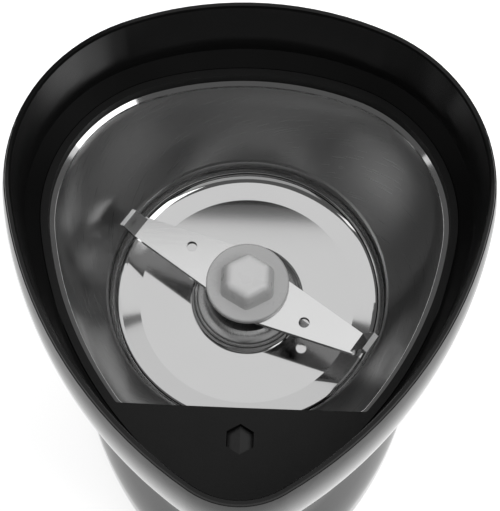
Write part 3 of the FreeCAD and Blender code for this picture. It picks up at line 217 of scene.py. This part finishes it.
def bowl_finish(name):
    """Drawn steel: brushed round the wall, and bright in the pan and on the rim."""
    material, nodes, links, bsdf = new_material(name)
    bsdf.inputs["Metallic"].default_value = 1.0
    lines = turning_lines(nodes, links)
    cloud = noise(nodes, links, coordinates(nodes, links), BOWL_CLOUD_SCALE, CLOUD_DETAIL)
    height = height_above_ground(nodes, links)
    above_pan = ramp(nodes, links, height, PAN_FILLET_LOW, PAN_FILLET_HIGH)
    below_rim = ramp(nodes, links, height, BOWL_RIM - RIM_POLISH_FULL, BOWL_RIM - RIM_POLISH_START)
    on_wall = math_node(nodes, links, "MULTIPLY", above_pan, below_rim)
    brushed = spread(nodes, links, lines, *WALL_ROUGHNESS)
    links.new(blend(nodes, links, on_wall, PAN_ROUGHNESS, brushed), bsdf.inputs["Roughness"])
    links.new(blend(nodes, links, on_wall, 0.0, WALL_ANISOTROPY), bsdf.inputs["Anisotropic"])
    tangent = nodes.new("ShaderNodeTangent")
    tangent.direction_type = "RADIAL"
    tangent.axis = "Z"
    links.new(tangent.outputs["Tangent"], bsdf.inputs["Tangent"])
    shade = blend(nodes, links, on_wall, cloud, lines)
    dark, light = STEEL_GREYS
    links.new(tint(nodes, links, shade, grey(dark), grey(light)), bsdf.inputs["Base Color"])
    bump(nodes, links, math_node(nodes, links, "MULTIPLY", lines, on_wall), WALL_RELIEF, bsdf)
    return material


def gloss_finish(name):
    """Glossy black plastic of the housing, duller inside the collar."""
    material = finish(name, grey(0.008), 0.07, vary=0.2, grain=0.3, relief=0.004, shine=0.2)
    nodes, links = material.node_tree.nodes, material.node_tree.links
    roughness = nodes["Principled BSDF"].inputs["Roughness"]
    polished = roughness.links[0].from_socket
    level = nodes.new("ShaderNodeVectorMath")
    level.operation = "MULTIPLY"
    level.inputs[1].default_value = (1.0, 1.0, 0.0)
    links.new(coordinates(nodes, links), level.inputs[0])
    outward = nodes.new("ShaderNodeVectorMath")
    outward.operation = "DOT_PRODUCT"
    links.new(level.outputs["Vector"], outward.inputs[0])
    links.new(nodes.new("ShaderNodeNewGeometry").outputs["Normal"], outward.inputs[1])
    inside = ramp(nodes, links, outward.outputs["Value"], FACES_IN_START, FACES_IN_FULL)
    links.new(blend(nodes, links, inside, polished, COLLAR_ROUGHNESS), roughness)
    return material


def nylon_finish_with_painted_highlight(name):
    """Pale nylon of the nut, with a painted highlight that brightens it towards the top of its cap."""
    material, nodes, links, bsdf = new_material(name)
    # Painted highlight: the colour rises from the flange grey to a near-white grey between the cap's foot
    # and top
    painted_highlight_rise = ramp(nodes, links, height_above_ground(nodes, links), CAP_FOOT, CAP_TOP)
    cloud = noise(nodes, links, coordinates(nodes, links), NYLON_CLOUD_SCALE, CLOUD_DETAIL)
    links.new(tint(nodes, links, painted_highlight_rise, grey(NYLON_FLANGE), grey(NYLON_CAP_PAINTED_HIGHLIGHT)), bsdf.inputs["Base Color"])
    links.new(spread(nodes, links, cloud, *NYLON_ROUGHNESS), bsdf.inputs["Roughness"])
    bump(nodes, links, cloud, NYLON_RELIEF, bsdf)
    return material


# Finishes that follow the shape of their piece
SHAPED_FINISHES = {
    "gloss_black": gloss_finish,
    "bowl_steel": bowl_finish,
    "pale_nylon": nylon_finish_with_painted_highlight,
}

# Finishes that are the same all over: grain in cycles per millimetre, relief in millimetres
PLAIN_FINISHES = {
    "satin_black": dict(colour=grey(0.014), rough=0.45, vary=0.15, grain=3.0, relief=0.02, shine=0.15),
    "base_black": dict(colour=grey(0.012), rough=0.5, vary=0.15, relief=0.03),
    "black_nylon": dict(colour=grey(0.02), rough=0.5, grain=1.5, relief=0.02),
    "plunger_black": dict(colour=grey(0.012), rough=0.35, shine=0.3),
    "switch_case": dict(colour=grey(0.03), rough=0.45, relief=0.02),
    "switch_red": dict(colour=(0.45, 0.03, 0.02), rough=0.4),
    "seal_rubber": dict(colour=grey(0.02), rough=0.6, relief=0.02),
    "foot_rubber": dict(colour=grey(0.03), rough=0.75, relief=0.03),
    "carbon": dict(colour=(0.03, 0.03, 0.033), rough=0.55, grain=4.0, relief=0.02),
    "fuse_case": dict(colour=(0.7, 0.68, 0.6), rough=0.4),
    "terminal_white": dict(colour=(0.75, 0.75, 0.72), rough=0.45),
    "capacitor_yellow": dict(colour=(0.75, 0.55, 0.08), rough=0.4),
    "blade_steel": dict(
        colour=grey(0.62), rough=0.14, metal=1.0, vary=0.03, relief=0.002,
        stretch=(0.1, 1, 1), turn=BLADE_TURN),
    "machine_steel": dict(colour=(0.55, 0.55, 0.56), rough=0.3, metal=1.0),
    "spring_steel": dict(colour=grey(0.5), rough=0.25, metal=1.0, relief=0.005),
    "zinc_screw": dict(colour=(0.62, 0.62, 0.6), rough=0.32, metal=1.0),
    "brass": dict(colour=(0.68, 0.48, 0.20), rough=0.28, metal=1.0),
    "sintered_bronze": dict(colour=(0.42, 0.27, 0.14), rough=0.5, metal=1.0, grain=4.0, relief=0.03),
    "cast_aluminium": dict(colour=(0.60, 0.60, 0.61), rough=0.5, metal=1.0, grain=1.5, relief=0.05),
    "lamination_steel": dict(
        colour=(0.35, 0.35, 0.37), rough=0.45, metal=1.0, grain=1.0, relief=0.05, stretch=(0.02, 0.02, 2)),
    "enamelled_copper": dict(
        colour=(0.55, 0.17, 0.05), rough=0.35, metal=0.7, grain=1.2, relief=0.15, stretch=(0.15, 0.15, 2)),
    "commutator_copper": dict(colour=(0.75, 0.36, 0.2), rough=0.25, metal=1.0),
}


def make_finish(slot):
    if slot in SHAPED_FINISHES:
        return SHAPED_FINISHES[slot](slot)
    return finish(slot, **PLAIN_FINISHES[slot])


def dress_nodes():
    """Gives every CAD node the finish of its slot in the record."""
    made = {}
    for entry in frame["record"]["subparts"]:
        slot = entry["material_slot"]
        if slot not in made:
            made[slot] = make_finish(slot)
        mesh = frame["nodes"][entry["node"]].data
        mesh.materials.clear()
        mesh.materials.append(made[slot])


def glow_shader(nodes, strength):
    shader = nodes.new("ShaderNodeEmission")
    shader.inputs["Strength"].default_value = strength
    return shader.outputs["Emission"]


def floor_finish():
    """Pale and matt. It glows for camera, mirrored and transmitted rays, and keeps its shadows."""
    material, nodes, links, bsdf = new_material("floor_white")
    bsdf.inputs["Base Color"].default_value = (*grey(FLOOR_GREY), 1.0)
    bsdf.inputs["Roughness"].default_value = FLOOR_ROUGHNESS
    bsdf.inputs["Specular IOR Level"].default_value = 0.0
    path = nodes.new("ShaderNodeLightPath")
    seen = math_node(nodes, links, "MAXIMUM", path.outputs["Is Camera Ray"], path.outputs["Is Glossy Ray"])
    seen = math_node(nodes, links, "MAXIMUM", seen, path.outputs["Is Transmission Ray"])
    choice = nodes.new("ShaderNodeMixShader")
    links.new(seen, choice.inputs["Fac"])
    links.new(glow_shader(nodes, 0.0), choice.inputs[1])
    links.new(glow_shader(nodes, FLOOR_GLOW), choice.inputs[2])
    both = nodes.new("ShaderNodeAddShader")
    links.new(bsdf.outputs["BSDF"], both.inputs[0])
    links.new(choice.outputs["Shader"], both.inputs[1])
    links.new(both.outputs["Shader"], nodes["Material Output"].inputs["Surface"])
    return material


def floor():
    """A wide floor that also makes the backdrop."""
    low, high = -FLOOR_HALF, FLOOR_HALF
    corners = [(low, low, 0), (high, low, 0), (high, high, 0), (low, high, 0)]
    mesh = bpy.data.meshes.new("floor")
    mesh.from_pydata(corners, [], [(0, 1, 2, 3)])
    plane = bpy.data.objects.new("floor", mesh)
    bpy.context.scene.collection.objects.link(plane)
    mesh.materials.append(floor_finish())


def softbox(name, place, aim, width, depth, radiance, turn=0.0):
    """A rectangular lamp in metres that faces a point, with the radiance its surface shows."""
    data = bpy.data.lights.new(name, "AREA")
    data.shape = "RECTANGLE"
    data.size = width
    data.size_y = depth
    data.energy = radiance * math.pi * width * depth
    lamp = bpy.data.objects.new(name, data)
    lamp.location = place
    lamp.rotation_euler = (Vector(aim) - Vector(place)).to_track_quat("-Z", "Y").to_euler()
    lamp.rotation_euler.rotate_axis("Z", math.radians(turn))
    bpy.context.scene.collection.objects.link(lamp)


def lights():
    """Two boxes overhead that the pan mirrors, three around the object, and a dim even sky."""
    bowl = (0.0, 0.0, 0.1)
    softbox("softbox_top", (0.0, 0.20, 1.05), (0.0, 0.20, 0.1), width=1.5, depth=0.44, radiance=1.0)
    softbox(
        "softbox_back", (0.1, 0.71, 1.05), (0.1, 0.71, 0.1), width=1.5, depth=0.42, radiance=0.9,
        turn=-16.0)
    softbox("softbox_front", (0.0, -0.75, 1.0), bowl, width=1.4, depth=0.5, radiance=0.45)
    softbox("softbox_key", (0.725, -0.264, 1.02), bowl, width=0.5, depth=0.9, radiance=2.9)
    softbox("softbox_left", (-0.9, -0.3, 0.95), bowl, width=0.16, depth=0.5, radiance=1.6)
    sky = bpy.data.worlds.new("studio")
    sky.use_nodes = True
    sky.node_tree.nodes["Background"].inputs["Color"].default_value = (*grey(SKY_GREY), 1.0)
    bpy.context.scene.world = sky


def camera():
    data = bpy.data.cameras.new("camera")
    data.sensor_width = SENSOR
    data.lens = FOCAL_PIXELS / IMAGE_HEIGHT * SENSOR
    data.clip_start = CLIP_START
    eye = bpy.data.objects.new("camera", data)
    eye.location = [value * MM for value in CAMERA_PLACE]
    eye.rotation_euler = Euler([math.radians(value) for value in CAMERA_TURN], "XYZ")
    bpy.context.scene.collection.objects.link(eye)
    bpy.context.scene.camera = eye


dress_nodes()
floor()
lights()
camera()
bpy.context.scene.view_settings.view_transform = "Standard"
